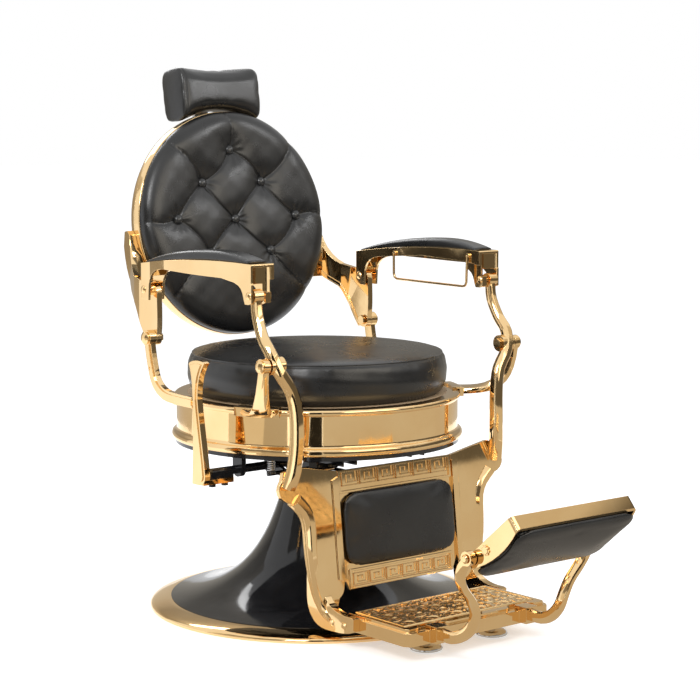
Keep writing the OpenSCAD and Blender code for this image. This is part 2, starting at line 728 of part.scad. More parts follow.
module front_leg_rail() {
    polygon(concat(
        [[-230, 256], [-206, 256], [-204, 92]],
        bez_path([[-204, 80], [-205, 48], [-222, 26], [-258, 25]], 8),
        bez_path([[-270, 25], [-300, 26], [-320, 27], [-336, 34]], 6),
        [[-337, 58]],
        bez_path([[-330, 60], [-290, 58], [-262, 68], [-252, 94]], 8)));
}

module front_leg() {
    color(gold) difference() {
        union() {
            swept_bar(smooth_path(post_points, 3), ridged(12.5, 12), [0.76, 1.08]);
            x_rod(post_x - 10, 20, arm_front_pivot, 12.5);
            x_rod(268, 30, leg_pivot, 16);
            on_panel() linear_extrude(9) front_leg_gusset();
            on_panel() linear_extrude(12) polygon([[panel_w, -18], [155, -24], [155, -206], [panel_w, -212]]);
            swept_bar(smooth_path(column_points, 2), ridged(12, 13), [1.12, 0.64]);
            side_plate(rail_x, 15) front_leg_rail();
        }
        x_rod(post_x - 20, 40, arm_front_pivot, pin_r + 1.2);
        x_rod(255, 60, leg_pivot, pin_r + 1 + fit);
        for (y = rivet_y) x_rod(rail_x - 5, 40, [y, rivet_z], 3.5);
    }
}
module front_leg_left() mirrored(1) front_leg();
module front_leg_right() mirrored(-1) front_leg();

// Panel between the legs, with a raised border round the bands above and below the pad
module on_panel() {
    translate([0, panel_top[0], panel_top[1]]) rotate([90 - panel_lean, 0, 0]) children();
}

module calf_panel() {
    color(gold) on_panel() union() {
        linear_extrude(6) polygon([[-panel_w, -8], [panel_w, -8], [panel_w, -200], [128, -228],
            [-128, -228], [-panel_w, -200]]);
        for (band = [[-50, 42, panel_w - 2], [-227, 36, 127]]) linear_extrude(9) difference() {
            translate([-band[2], band[0]]) square([2 * band[2], band[1]]);
            translate([-band[2] + 4, band[0] + 4]) square([2 * band[2] - 8, band[1] - 8]);
        }
    }
}

module calf_pad() {
    color(leather) on_panel() translate([0, -121.5, 6.02]) crowned_pad(132.5, 69, 16, 6, 10, 40);
}

// Cast foot platform: a slab, and a raised deck with ogee corners round the arm blocks
module deck_outline() {
    y = platform_front;
    half = concat(
        bez_path([[70, y + 8], [86, y + 8], [80, y + 26], [96, y + 26]], 5),
        bez_path([[124, y + 26], [140, y + 26], [134, y + 8], [150, y + 8]], 5),
        [[platform_w - 10, y + 8], [platform_w - 6, y + 14], [platform_w - 6, platform_rear + 6]]);
    polygon(concat(half, [for (i = [len(half) - 1:-1:0]) [-half[i][0], half[i][1]]]));
}

module foot_platform() {
    color(gold) union() {
        translate([0, 0, platform_z]) linear_extrude(platform_h - 6) polygon([[-platform_w, platform_rear],
            [-platform_w, platform_front + 12], [-platform_w + 8, platform_front],
            [platform_w - 8, platform_front], [platform_w, platform_front + 12], [platform_w, platform_rear]]);
        translate([0, 0, platform_z + 10]) linear_extrude(platform_h - 10) deck_outline();
        translate([-platform_w + 6, platform_rear - 2, platform_z + platform_h - 8])
            cube([2 * platform_w - 12, 40, 8]);
        for (s = [-1, 1]) translate([s * 110 - 14, platform_front - 18, platform_z + 2]) cube([28, 30, 30]);
        for (s = [-1, 1]) mirrored(s) difference() {
            translate([platform_w - 8, platform_rear - 4, platform_z]) cube([8, 78, 26]);
            for (y = rivet_y) x_rod(platform_w - 20, 40, [y, rivet_z], 3.5);
        }
    }
}

module glide_feet() {
    color(steel) for (s = [-1, 1]) translate([s * 81, -410, 0]) rotate_extrude() polygon(concat(
        [[0, 1], [27, 1]], bez_path([[27, 1], [32, 2], [31, 9], [22, 12]], 6),
        [[8, 14], [8, platform_z], [0, platform_z]]));
}

module leg_rivets() {
    color(gold) for (s = [-1, 1]) mirrored(s) for (y = rivet_y) {
        x_rod(platform_w - 8, rail_x + 23 - platform_w, [y, rivet_z], 3.5 - fit);
        translate([rail_x + 15, y, rivet_z]) rotate([0, 90, 0]) cylinder(h = 3, r1 = 7, r2 = 4);
    }
}

// Curved band that carries the footrest out in front of the platform
arm_points = [[110, -484, 48], [111, -510, 47], [108, -537, 57], [106, -558, 78], [109, -566, 102],
    [121, -568, 126], [140, -570, 148], [152, -574, 168], [155, -582, 190], [155, -597, 209]];
module footrest_arm() {
    color(gold) difference() {
        union() {
            swept_bar(smooth_path(arm_points, 3), oval(6.5, 11.5, 3.4, 16), [1, 0.92]);
            x_rod(148, 13, flip_pivot, 13);
        }
        translate([60, platform_front - 18 + 0.02, 0]) cube([100, 30, 100]);
        x_rod(140, 30, flip_pivot, pin_r + fit);
    }
}
module footrest_arm_left() mirrored(1) footrest_arm();
module footrest_arm_right() mirrored(-1) footrest_arm();

// Frame of the footrest: Y from the hinge to the front edge, Z out of the tread
module on_footrest() {
    translate([0, flip_pivot[0], flip_pivot[1]]) rotate([0, 0, 180]) rotate([footrest_tilt, 0, 0]) children();
}

frame_w = 146;
frame_front = 124;
frame_rear = -18;
// Ring under the tread, deeper along its sides; g grows it
module footrest_rim(g) {
    intersection() {
        translate([0, 0, -60]) linear_extrude(66) difference() {
            offset(r = 8 + g, $fn = 32) offset(delta = -8)
                translate([-frame_w, frame_rear]) square([2 * frame_w, frame_front - frame_rear]);
            translate([-frame_w + 5 + g, frame_rear + 5 + g])
                square([2 * (frame_w - 5 - g), frame_front - frame_rear - 10 - 2 * g]);
        }
        translate([-160, 0, 0]) rotate([90, 0, 90]) linear_extrude(320) offset(delta = g) polygon(concat(
            [[frame_rear - 1, 7], [frame_front + 1, 7], [frame_front + 1, -18]],
            bez_path([[frame_front - 8, -22], [88, -32], [34, -36], [frame_rear - 1, -12]], 8)));
    }
}

module footrest_frame() {
    color(gold) on_footrest() difference() {
        union() {
            footrest_rim(0);
            translate([0, 0, 3]) linear_extrude(4) offset(r = 8, $fn = 32) offset(delta = -8)
                translate([-frame_w, frame_rear]) square([2 * frame_w, frame_front - frame_rear]);
        }
        for (s = [-1, 1]) x_rod(s * frame_w - 20, 40, [0, 0], pin_r);
    }
}

module footrest_pad() {
    color(leather) on_footrest() difference() {
        translate([0, (frame_front + frame_rear) / 2, 2.98]) mirror([0, 0, 1])
            crowned_pad(frame_w - 0.5, (frame_front - frame_rear) / 2 - 0.5, 50, 6, 14, 40);
        footrest_rim(0.05);
        for (s = [-1, 1]) x_rod(s * frame_w - 20, 40, [0, 0], pin_r + gap);
    }
}

module footrest_pins() {
    color(gold) on_footrest() for (s = [-1, 1]) mirrored(s) {
        x_rod(frame_w - 4.9, 22, [0, 0], pin_r);
        translate([frame_w + 17, 0, 0]) rotate([0, 90, 0]) cylinder(h = 3, r1 = 8, r2 = 5);
    }
}

// Petalled studs on the sides of the tread frame
module footrest_rosettes() {
    color(gold) on_footrest() for (s = [-1, 1]) mirrored(s) union() {
        x_rod(frame_w, 3, [37, -7], 6.5);
        for (a = [0:45:315]) x_rod(frame_w, 2, [37 + 7 * cos(a), -7 + 7 * sin(a)], 2.6);
    }
}

base_ring();
base_plate();
pedestal_cover();
pump_cylinder();
pump_bolts();
gland_nut();
gland_seal();
pump_ram();
ram_piston();
thrust_washer();
seat_mount_neck();
seat_channels();
seat_pan();
seat_drum();
seat_board();
seat_cushion();
seat_cushion_rear();
front_bracket_left();
front_bracket_right();
rear_post_left();
rear_post_right();
hinge_bolts();
lever_bearings();
lever_spring();
hand_lever();
lever_shaft();
lever_bolts();
lever_crank();
back_shell();
back_board();
back_cushion();
back_buttons();
back_arm_left();
back_arm_right();
headrest_socket();
headrest_bar();
headrest_pillow();
armrest_frame_left();
armrest_pad_left();
armrest_rivets_left();
towel_rail();
armrest_frame_right();
armrest_pad_right();
armrest_rivets_right();
front_leg_left();
front_leg_right();
calf_panel();
calf_pad();
foot_platform();
glide_feet();
leg_rivets();
footrest_arm_left();
footrest_arm_right();
footrest_frame();
footrest_pad();
footrest_pins();
footrest_rosettes();
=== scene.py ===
import json
import math

import bmesh
import bpy
from mathutils import Matrix, Vector


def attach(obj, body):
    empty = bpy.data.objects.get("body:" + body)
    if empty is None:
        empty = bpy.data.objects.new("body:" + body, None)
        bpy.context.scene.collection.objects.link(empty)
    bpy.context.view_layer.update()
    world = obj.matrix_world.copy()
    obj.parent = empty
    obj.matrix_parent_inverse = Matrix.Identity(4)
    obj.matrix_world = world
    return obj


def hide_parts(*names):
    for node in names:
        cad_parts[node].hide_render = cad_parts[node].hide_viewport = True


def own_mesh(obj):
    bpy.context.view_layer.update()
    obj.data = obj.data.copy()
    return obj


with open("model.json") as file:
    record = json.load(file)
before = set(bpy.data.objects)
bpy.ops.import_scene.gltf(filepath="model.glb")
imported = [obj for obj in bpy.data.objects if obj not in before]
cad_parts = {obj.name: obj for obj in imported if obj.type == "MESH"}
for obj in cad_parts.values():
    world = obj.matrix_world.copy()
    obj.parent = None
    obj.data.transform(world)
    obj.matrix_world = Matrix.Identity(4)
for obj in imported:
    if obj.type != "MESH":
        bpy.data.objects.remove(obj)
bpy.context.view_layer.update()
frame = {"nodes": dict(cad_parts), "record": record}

scene = bpy.context.scene
nodes = frame["nodes"]

# ---------------------------------------------------------------- camera, as recovered from the photograph
CAMERA_AT = (-2.441, -3.023, 0.953)
CAMERA_DOWN, CAMERA_TURN = 6.674, -39.863
LENS, SENSOR = 103.31, 36

cam_data = bpy.data.cameras.new("camera")
cam_data.lens = LENS
cam_data.sensor_width = SENSOR
cam = bpy.data.objects.new("camera", cam_data)
cam.location = CAMERA_AT
cam.rotation_euler = (math.radians(90 - CAMERA_DOWN), 0, math.radians(CAMERA_TURN))
scene.collection.objects.link(cam)
scene.camera = cam

# ---------------------------------------------------------------- frames of the sloping parts
BACK_AT, BACK_LEAN = (0, 0.256, 0.737), 7
PANEL_AT, PANEL_LEAN = (0, -0.221, 0.314), 6.6
FLIP_PIN, FLIP_REST = (0, -0.597, 0.209), 40
PILLOW_AT, PILLOW_LEAN = (0, 0.340, 0.998), -8


def tipped(degrees):
    return Matrix.Rotation(math.radians(degrees), 4, "X")


on_back = Matrix.Translation(BACK_AT) @ tipped(90 - BACK_LEAN)
on_panel = Matrix.Translation(PANEL_AT) @ tipped(90 - PANEL_LEAN)
on_footrest = Matrix.Translation(FLIP_PIN) @ Matrix.Rotation(math.pi, 4, "Z") @ tipped(FLIP_REST)
on_pillow = Matrix.Translation(PILLOW_AT) @ tipped(PILLOW_LEAN)


# ---------------------------------------------------------------- materials
def new_material(name):
    m = bpy.data.materials.new(name)
    m.use_nodes = True
    return m, m.node_tree, m.node_tree.nodes["Principled BSDF"]


def node(tree, kind, inputs=None, **props):
    n = tree.nodes.new(kind)
    for k, v in props.items():
        setattr(n, k, v)
    for k, v in (inputs or {}).items():
        n.inputs[k].default_value = v
    return n


def object_coords(tree):
    return node(tree, "ShaderNodeTexCoord").outputs["Object"]


def noise(tree, coords, scale, detail, **more):
    n = node(tree, "ShaderNodeTexNoise", {"Scale": scale, "Detail": detail, **more})
    tree.links.new(coords, n.inputs["Vector"])
    return n.outputs


def ramp(tree, source, stops):
    """A colour ramp over source; stops are (position, colour)."""
    r = tree.nodes.new("ShaderNodeValToRGB")
    ends = r.color_ramp.elements
    ends[0].position, ends[0].color = stops[0][0], (*stops[0][1], 1)
    ends[1].position, ends[1].color = stops[-1][0], (*stops[-1][1], 1)
    for position, colour in stops[1:-1]:
        ends.new(position).color = (*colour, 1)
    tree.links.new(source, r.inputs["Fac"])
    return r.outputs["Color"]


def grey(v):
    return (v, v, v)


def bump(tree, height, strength, distance, under=None):
    """The normal of a bump of that height, over another normal where one is given."""
    b = node(tree, "ShaderNodeBump", {"Strength": strength, "Distance": distance})
    tree.links.new(height, b.inputs["Height"])
    if under:
        tree.links.new(under, b.inputs["Normal"])
    return b.outputs["Normal"]


def gold_material(name, base, dark, rough=(0.03, 0.09), wave=0.012):
    """Polished plated metal: a faint cloudiness, thinner plating in patches, and rounded edges."""
    m, t, bsdf = new_material(name)
    place = object_coords(t)
    cloud = noise(t, place, 9.0, 5.0)["Fac"]
    t.links.new(ramp(t, cloud, [(0.3, dark), (0.62, base)]), bsdf.inputs["Base Color"])
    fine = noise(t, place, 60.0, 6.0, Roughness=0.65)["Fac"]
    t.links.new(ramp(t, fine, [(0.3, grey(rough[0])), (0.75, grey(rough[1]))]), bsdf.inputs["Roughness"])
    edges = node(t, "ShaderNodeBevel", {"Radius": 0.0012}, samples=4).outputs["Normal"]
    t.links.new(bump(t, cloud, wave, 0.01, edges), bsdf.inputs["Normal"])
    bsdf.inputs["Metallic"].default_value = 1.0
    return m


def leather_material(name, base, high, rough):
    """Grained upholstery leather: pebbled cells, fine creases and a soft sheen."""
    m, t, bsdf = new_material(name)
    place = object_coords(t)
    warp = noise(t, place, 180.0, 3.0)["Color"]
    bent = node(t, "ShaderNodeMixRGB", {"Fac": 0.012})
    t.links.new(place, bent.inputs["Color1"])
    t.links.new(warp, bent.inputs["Color2"])
    cells = node(t, "ShaderNodeTexVoronoi", {"Scale": 620.0}, feature="DISTANCE_TO_EDGE")
    t.links.new(bent.outputs["Color"], cells.inputs["Vector"])
    soft = noise(t, place, 14.0, 4.0)["Fac"]
    t.links.new(ramp(t, soft, [(0.3, base), (0.75, high)]), bsdf.inputs["Base Color"])
    t.links.new(ramp(t, soft, [(0.25, grey(rough[0])), (0.8, grey(rough[1]))]), bsdf.inputs["Roughness"])
    grain = ramp(t, cells.outputs["Distance"], [(0.0, grey(0)), (0.18, grey(1))])
    crease = noise(t, place, 40.0, 6.0, Distortion=1.2)["Fac"]
    creased = bump(t, crease, 0.015, 0.004)
    t.links.new(bump(t, grain, 0.07, 0.0004, creased), bsdf.inputs["Normal"])
    bsdf.inputs["Specular IOR Level"].default_value = 0.6
    return m


def coated_material(name, base, high, rough=(0.05, 0.12), metallic=0.0, scale=30.0, relief=0.02):
    """Smooth finish with slight variation: enamel, steel, bronze, rubber and the board's cloth."""
    m, t, bsdf = new_material(name)
    cloud = noise(t, object_coords(t), scale, 5.0)["Fac"]
    t.links.new(ramp(t, cloud, [(0.3, base), (0.7, high)]), bsdf.inputs["Base Color"])
    t.links.new(ramp(t, cloud, [(0.3, grey(rough[0])), (0.8, grey(rough[1]))]), bsdf.inputs["Roughness"])
    t.links.new(bump(t, cloud, relief, 0.004), bsdf.inputs["Normal"])
    bsdf.inputs["Metallic"].default_value = metallic
    return m


def wood_material(name, dark, light):
    m, t, bsdf = new_material(name)
    rings = node(t, "ShaderNodeTexWave", {"Scale": 30.0, "Distortion": 5.0, "Detail": 3.0})
    t.links.new(object_coords(t), rings.inputs["Vector"])
    t.links.new(ramp(t, rings.outputs["Fac"], [(0.2, dark), (0.8, light)]), bsdf.inputs["Base Color"])
    bsdf.inputs["Roughness"].default_value = 0.7
    return m


GOLD = gold_material("gold_plate", (0.94, 0.68, 0.36), (0.88, 0.60, 0.29))
CARVED = gold_material("gold_carved", (0.90, 0.65, 0.34), (0.80, 0.55, 0.26), rough=(0.14, 0.28), wave=0.05)
LEATHER = leather_material("leather_black", (0.0075, 0.0075, 0.0078), (0.0135, 0.0133, 0.0130), (0.23, 0.36))
# the buttons get a lighter copy of the black leather: painted light, so that they look brighter, as if lit
BUTTON_LEATHER_PAINTED_LIGHTER = leather_material("leather_button_painted_lighter", grey(0.018), grey(0.028), (0.17, 0.24))
ENAMEL = coated_material("enamel_black", (0.008, 0.008, 0.009), (0.014, 0.014, 0.015))
STEEL = coated_material("steel_chrome", (0.62, 0.62, 0.63), (0.75, 0.75, 0.76), (0.1, 0.22), metallic=1.0)
RUBBER = coated_material("seal_rubber", grey(0.02), grey(0.035), (0.5, 0.7), scale=200)
BRONZE = coated_material("bronze", (0.55, 0.34, 0.16), (0.66, 0.43, 0.22), (0.25, 0.4), metallic=1.0)
WOOD = wood_material("plywood", (0.42, 0.28, 0.15), (0.62, 0.45, 0.27))
BOARD = coated_material("board_cloth_black", grey(0.010), grey(0.018), (0.6, 0.8), scale=400.0, relief=0.2)
BY_SLOT = {"gold_plate": GOLD, "black_enamel": ENAMEL, "steel": STEEL, "leather": LEATHER,
           "seal_rubber": RUBBER, "bronze": BRONZE, "plywood": WOOD}

for sub in frame["record"]["subparts"]:
    slots = nodes[sub["node"]].data.materials
    slots.clear()
    slots.append(BY_SLOT[sub["material_slot"]])

nodes["back_board"].data.materials[0] = BOARD

# solids made of facets are shaded smooth, apart from edges sharper than the angle in degrees
SHARP_FROM = {28: ("front_leg_left", "front_leg_right"),
              30: ("front_bracket_left", "front_bracket_right", "pedestal_cover", "base_ring",
                   "seat_mount_neck", "back_arm_left", "back_arm_right"),
              32: ("seat_drum", "back_shell", "glide_feet"),
              35: ("footrest_arm_left", "footrest_arm_right"),
              50: ("towel_rail",),
              60: ("lever_spring",)}
WELD_GAP, FACE_WEIGHT = 1e-5, 90


def smooth_solid(o, angle):
    if "custom_normal" in o.data.attributes:
        o.data.attributes.remove(o.data.attributes["custom_normal"])
    o.data.polygons.foreach_set("use_smooth", [True] * len(o.data.polygons))
    o.modifiers.new("weld", "WELD").merge_threshold = WELD_GAP
    o.modifiers.new("edges", "EDGE_SPLIT").split_angle = math.radians(angle)
    o.modifiers.new("even", "WEIGHTED_NORMAL").weight = FACE_WEIGHT


for angle, names in SHARP_FROM.items():
    for name in names:
        smooth_solid(nodes[name], angle)


# ---------------------------------------------------------------- mesh helpers
def add_mesh(name, verts, faces, material, smooth=True):
    me = bpy.data.meshes.new(name)
    me.from_pydata([tuple(v) for v in verts], [], faces)
    me.validate()
    if smooth:
        me.polygons.foreach_set("use_smooth", [True] * len(me.polygons))
    me.materials.append(material)
    o = bpy.data.objects.new(name, me)
    scene.collection.objects.link(o)
    return o


def soft_piece(o, body, replaced):
    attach(o, body)
    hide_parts(replaced)


def trim_piece(o, body):
    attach(o, body)


def rings_mesh(rings, capped=True):
    """Vertices and faces of a skin over closed rings with the same count of points."""
    n = len(rings[0])
    last = len(rings) - 1
    verts = [p for r in rings for p in r]
    faces = [(k * n + i, k * n + (i + 1) % n, (k + 1) * n + (i + 1) % n, (k + 1) * n + i)
             for k in range(last) for i in range(n)]
    for k in (0, last) if capped else ():
        verts.append(tuple(sum((Vector(p) for p in rings[k]), Vector()) / n))
        centre = len(verts) - 1
        for i in range(n):
            a, b = k * n + i, k * n + (i + 1) % n
            faces.append((b, a, centre) if k == 0 else (a, b, centre))
    return verts, faces


def angles(n):
    return [2 * math.pi * i / n for i in range(n)]


def circle(r, z, n, x=0, y=0):
    return [(x + r * math.cos(a), y + r * math.sin(a), z) for a in angles(n)]


def oval(a, b, power, n):
    """A superellipse: with power 2 it is an ellipse, and a higher power makes it squarer."""
    pts = []
    for t in angles(n):
        u, v = math.cos(t), math.sin(t)
        pts.append((a * math.copysign(abs(u) ** (2 / power), u), b * math.copysign(abs(v) ** (2 / power), v)))
    return pts


def bezier(p, n):
    """Points of a cubic curve through the first and last of four control points."""
    out = []
    for i in range(n + 1):
        t = i / n
        w = ((1 - t) ** 3, 3 * (1 - t) ** 2 * t, 3 * (1 - t) * t * t, t ** 3)
        out.append(tuple(sum(w[k] * p[k][j] for k in range(4)) for j in range(2)))
    return out


def apply_modifier(o, kind, **settings):
    m = o.modifiers.new(kind.lower(), kind)
    for k, v in settings.items():
        setattr(m, k, v)
    bpy.context.view_layer.objects.active = o
    bpy.ops.object.modifier_apply(modifier=m.name)


CLOTH_FRAMES = 20
CLOTH = {"quality": 6, "mass": 0.3, "tension_stiffness": 25, "compression_stiffness": 25,
         "shear_stiffness": 12, "bending_stiffness": 1.5, "use_pressure": True}


def swollen(o, pressure):
    """Where the cloth simulation moves each point of a stuffed cover, without gravity."""
    cloth = o.modifiers.new("cloth", "CLOTH")
    for k, v in CLOTH.items():
        setattr(cloth.settings, k, v)
    cloth.settings.uniform_pressure_force = pressure
    cloth.settings.vertex_group_mass = "held"
    cloth.settings.effector_weights.gravity = 0
    cloth.collision_settings.use_collision = False
    for f in range(1, CLOTH_FRAMES + 1):
        scene.frame_set(f)
    evaluated = o.evaluated_get(bpy.context.evaluated_depsgraph_get())
    moved = [v.co.copy() for v in evaluated.to_mesh().vertices]
    o.modifiers.remove(cloth)
    scene.frame_set(1)
    return moved


def inflate(o, voxel, pressure, cap, held=None):
    """Remeshes a stuffed cover, swells it by no more than cap and relaxes it.

    The cloth simulation leaves the points that held picks where they are."""
    apply_modifier(o, "REMESH", mode="VOXEL", voxel_size=voxel, use_smooth_shade=True)
    rest = [v.co.copy() for v in o.data.vertices]
    group = o.vertex_groups.new(name="held")
    for i, p in enumerate(rest):
        if held and held(p):
            group.add([i], 1.0, "REPLACE")
    for v, a, b in zip(o.data.vertices, rest, swollen(o, pressure)):
        d = b - a
        if d.length > cap:
            d *= cap / d.length
        v.co = a + d
    apply_modifier(o, "SMOOTH", factor=0.5, iterations=7)


def subdivide(o):
    apply_modifier(o, "SUBSURF", levels=1, render_levels=1)


WAVES = ((31, 23, 27, 1), (67, 59, 71, 2), (131, 149, 117, 4))


def height_noise(x, y, z, seed):
    """A smooth unevenness of no more than 1.75 either way."""
    return sum(math.sin(x * a + seed) * math.cos(y * b - seed) * math.sin(z * c + 2 * seed) / k
               for a, b, c, k in WAVES)


# ---------------------------------------------------------------- seat cushion
SEAT_R, SEAT_Z0, SEAT_TOP, SEAM_Z = 0.252, 0.4203, 0.508, 0.495
SEAT_STEPS, SHARP_CUT = 256, 40
HINGE = Vector((0, 0.168, 0.528))
# the rear wedge that the foot of the back presses down: radii, angles and half width round the hinge
WEDGE_IN, WEDGE_OUT, WEDGE_LOW, WEDGE_HIGH, WEDGE_HALF = 0.049, 0.170, -58, 24, 0.124


def seat_profile():
    """Half a section of the seat, from the middle of its underside to the middle of its top."""
    under = [(r, SEAT_Z0) for r in (0.002, 0.12, 0.20)]
    side = bezier([(SEAT_R - 0.016, SEAT_Z0), (SEAT_R + 0.003, SEAT_Z0 + 0.010),
                   (SEAT_R + 0.004, SEAM_Z - 0.022), (SEAT_R - 0.006, SEAM_Z - 0.003)], 26)
    seam = [(SEAT_R - 0.0076, SEAM_Z - 0.0012), (SEAT_R - 0.0086, SEAM_Z), (SEAT_R - 0.0088, SEAM_Z + 0.0012)]
    top = bezier([(SEAT_R - 0.0085, SEAM_Z + 0.0026), (SEAT_R - 0.026, SEAT_TOP - 0.001),
                  (0.150, SEAT_TOP), (0.0015, SEAT_TOP)], 44)
    return under + side + seam + top


def seat_surface():
    """The round seat, with gathers at its seam, faint streaks down its side and a slow swell."""
    rings = []
    for r, z in seat_profile():
        near_seam = math.exp(-((z - SEAM_Z) / 0.016) ** 2) if r > 0.15 else 0
        streaked = r > 0.2 and SEAM_Z - 0.06 < z < SEAM_Z
        ring = []
        for a in angles(SEAT_STEPS):
            gather = math.sin(23 * a) + 0.7 * math.sin(41 * a + 1.3) + 0.5 * math.sin(67 * a + 0.4)
            pull = 0.0004 * near_seam * gather
            streak = 0.0003 * math.sin(5 * a + 260 * (z - SEAM_Z)) if streaked else 0
            swell = 0
            if z > SEAT_Z0:
                swell = 0.0007 * height_noise(r * math.cos(a) * 0.3, r * math.sin(a) * 0.3, z * 0.3, 1.7)
            rr = r + pull + streak + swell
            lift = swell if r < 0.2 and z > 0.45 else 0
            ring.append((rr * math.cos(a), rr * math.sin(a), z + lift))
        rings.append(ring)
    return rings_mesh(rings)


def arc(radius, degrees):
    return [(radius * math.cos(math.radians(a)), radius * math.sin(math.radians(a))) for a in degrees]


def wedge_cutter():
    """The rear wedge as a block across the chair, round the recline hinge."""
    profile = arc(WEDGE_IN, range(WEDGE_LOW, WEDGE_HIGH + 1, 2))
    profile += arc(WEDGE_OUT, range(WEDGE_HIGH, WEDGE_LOW - 1, -6))
    k = len(profile)
    verts = [(x, HINGE.y + y, HINGE.z + z) for x in (-WEDGE_HALF, WEDGE_HALF) for y, z in profile]
    faces = [(i, k + i, k + (i + 1) % k, (i + 1) % k) for i in range(k)]
    faces += [tuple(range(k)), tuple(range(2 * k - 1, k - 1, -1))]
    return add_mesh("cutter", verts, faces, LEATHER, smooth=False)


def cut_copy(o, name, operation, cutter):
    c = o.copy()
    c.data = o.data.copy()
    c.name = name
    c.data.name = name
    scene.collection.objects.link(c)
    apply_modifier(c, "BOOLEAN", operation=operation, solver="EXACT", object=cutter)
    c.data.set_sharp_from_angle(angle=math.radians(SHARP_CUT))
    return c


whole = add_mesh("seat_cushion_whole", *seat_surface(), LEATHER)
cutter = wedge_cutter()
seat_front = cut_copy(whole, "seat_cushion_leather", "DIFFERENCE", cutter)
seat_rear = cut_copy(whole, "seat_cushion_rear_leather", "INTERSECT", cutter)
bpy.data.objects.remove(whole)
bpy.data.objects.remove(cutter)
soft_piece(seat_front, "seat", "seat_cushion")
soft_piece(seat_rear, "seat", "seat_cushion_rear")
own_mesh(seat_rear)

# ---------------------------------------------------------------- tufted back
BACK_R, RIM_FRONT = 0.2266, -0.0190
# the rounded edge of the back: how wide it is, and how far it falls
ROUND, DROP = 0.044, 0.0255
# place of each button on the back, how deep it is drawn in and how wide its dimple is
TUFTS = [(0, .148, .0205, .026), (-.074, .082, .0215, .025), (.074, .082, .0215, .025),
         (-.148, .0095, .0120, .025), (0, .0070, .0230, .027), (.148, .0095, .0120, .025),
         (-.076, -.0605, .0135, .025), (.076, -.0605, .0135, .025)]
TOP, HIGH, OUTER, MID, LOW = (0, .148), (.074, .082), (.148, .0095), (0, .0070), (.076, -.0605)
PLEATS = [(TOP, (-.004, .2222))]
for s in (-1, 1):
    high, outer, low = ((s * x, y) for x, y in (HIGH, OUTER, LOW))
    PLEATS += [(TOP, high), (high, outer), (MID, high), (MID, low), (outer, low), (high, (s * .153, .161)),
               (outer, (s * .2220, .008)), (low, (s * .168, -.145))]


def pleat_points(a, b, bow, steps=8):
    """A pleat between two places on the back, bowed a little to one side."""
    a, b = Vector(a), Vector(b)
    side = Vector((-(b - a).y, (b - a).x))
    return [a.lerp(b, i / steps) + side * bow * math.sin(math.pi * i / steps) for i in range(steps + 1)]


PATHS = [pleat_points(a, b, 0.07 * (1 if i % 2 else -1)) for i, (a, b) in enumerate(PLEATS)]
SEGMENTS = [(p[i], p[i + 1]) for p in PATHS for i in range(len(p) - 1)]


def segment_gap(p, a, b):
    d = b - a
    t = max(0, min(1, (p - a).dot(d) / d.dot(d)))
    return (p - a - d * t).length


def towards_edge(r):
    """0 over the middle of the back, rising to 1 at its edge."""
    return max(0.0, (r - (BACK_R - ROUND)) / ROUND)


def back_base(r, v):
    """The stuffed form without its tufts: a broad rounded edge, fuller in the small of the back."""
    full = 0.0045 * math.exp(-((v + 0.055) / 0.085) ** 2) - 0.0035 / (1 + math.exp(-(v - 0.07) / 0.03))
    fall = DROP * (1 - (max(0.0, 1 - towards_edge(r) ** 2.3)) ** 0.52)
    return 0.0115 + full * (1 - (r / BACK_R) ** 4) - fall


def tuft_depth(u, v):
    """How far the buttons and the sewn pleats draw the leather in at a place."""
    p = Vector((u, v))
    g = min(segment_gap(p, *s) for s in SEGMENTS)
    d = -0.0042 * math.exp(-(g / 0.017) ** 1.4) - 0.0036 * math.exp(-g / 0.0016)
    for i, (bu, bv, deep, wide) in enumerate(TUFTS):
        b = math.hypot(u - bu, v - bv)
        d -= (deep - 0.004) * math.exp(-(b / wide) ** 1.15)
        fan = math.exp(-((b - 0.017) / 0.010) ** 2)
        if fan > 0.01:
            d += 0.0005 * fan * math.sin(9 * math.atan2(v - bv, u - bu) + 2.4 * i)
    return d


def back_unevenness(u, v):
    return 0.0008 * height_noise(u, v, 0.3, 0.6)


def back_height(u, v):
    return back_base(math.hypot(u, v), v) + tuft_depth(u, v) + back_unevenness(u, v)


def back_mesh():
    """The leather of the back: a skirt inside the shell, the rounded edge, then the tufted face."""
    around, inward, edge_steps = 384, 130, 34
    skirt = [(0.2065, -0.0375), (0.2185, -0.0345), (0.2222, -0.0290), (0.2222, -0.0215), (0.2226, -0.0192),
             (0.2240, -0.0180), (0.2258, -0.0172)]
    face_r, innermost = BACK_R - ROUND, 0.0012
    radii = [BACK_R - ROUND * (1 - math.cos(math.pi / 2 * k / edge_steps)) for k in range(edge_steps)]
    radii += [face_r * (1 - k / inward) + innermost * k / inward for k in range(inward + 1)]
    rings = [circle(r, w, around) for r, w in skirt]
    for r in radii:
        t = towards_edge(r)
        out = t ** 3
        ring = []
        for a in angles(around):
            u, v = r * math.cos(a), r * math.sin(a)
            d = tuft_depth(u, v)
            w = back_base(r, v) + d * (1 - 0.75 * out) + back_unevenness(u, v) * (1 - t)
            rr = r + (0.45 * d + 0.0008 * math.sin(5 * a + 1) - 0.0008) * out
            ring.append((rr * math.cos(a), rr * math.sin(a), max(w, RIM_FRONT + 0.0022)))
        rings.append(ring)
    verts, faces = rings_mesh(rings)
    return [on_back @ Vector(p) for p in verts], faces


back = add_mesh("back_cushion_leather", *back_mesh(), LEATHER)
soft_piece(back, "back", "back_cushion")

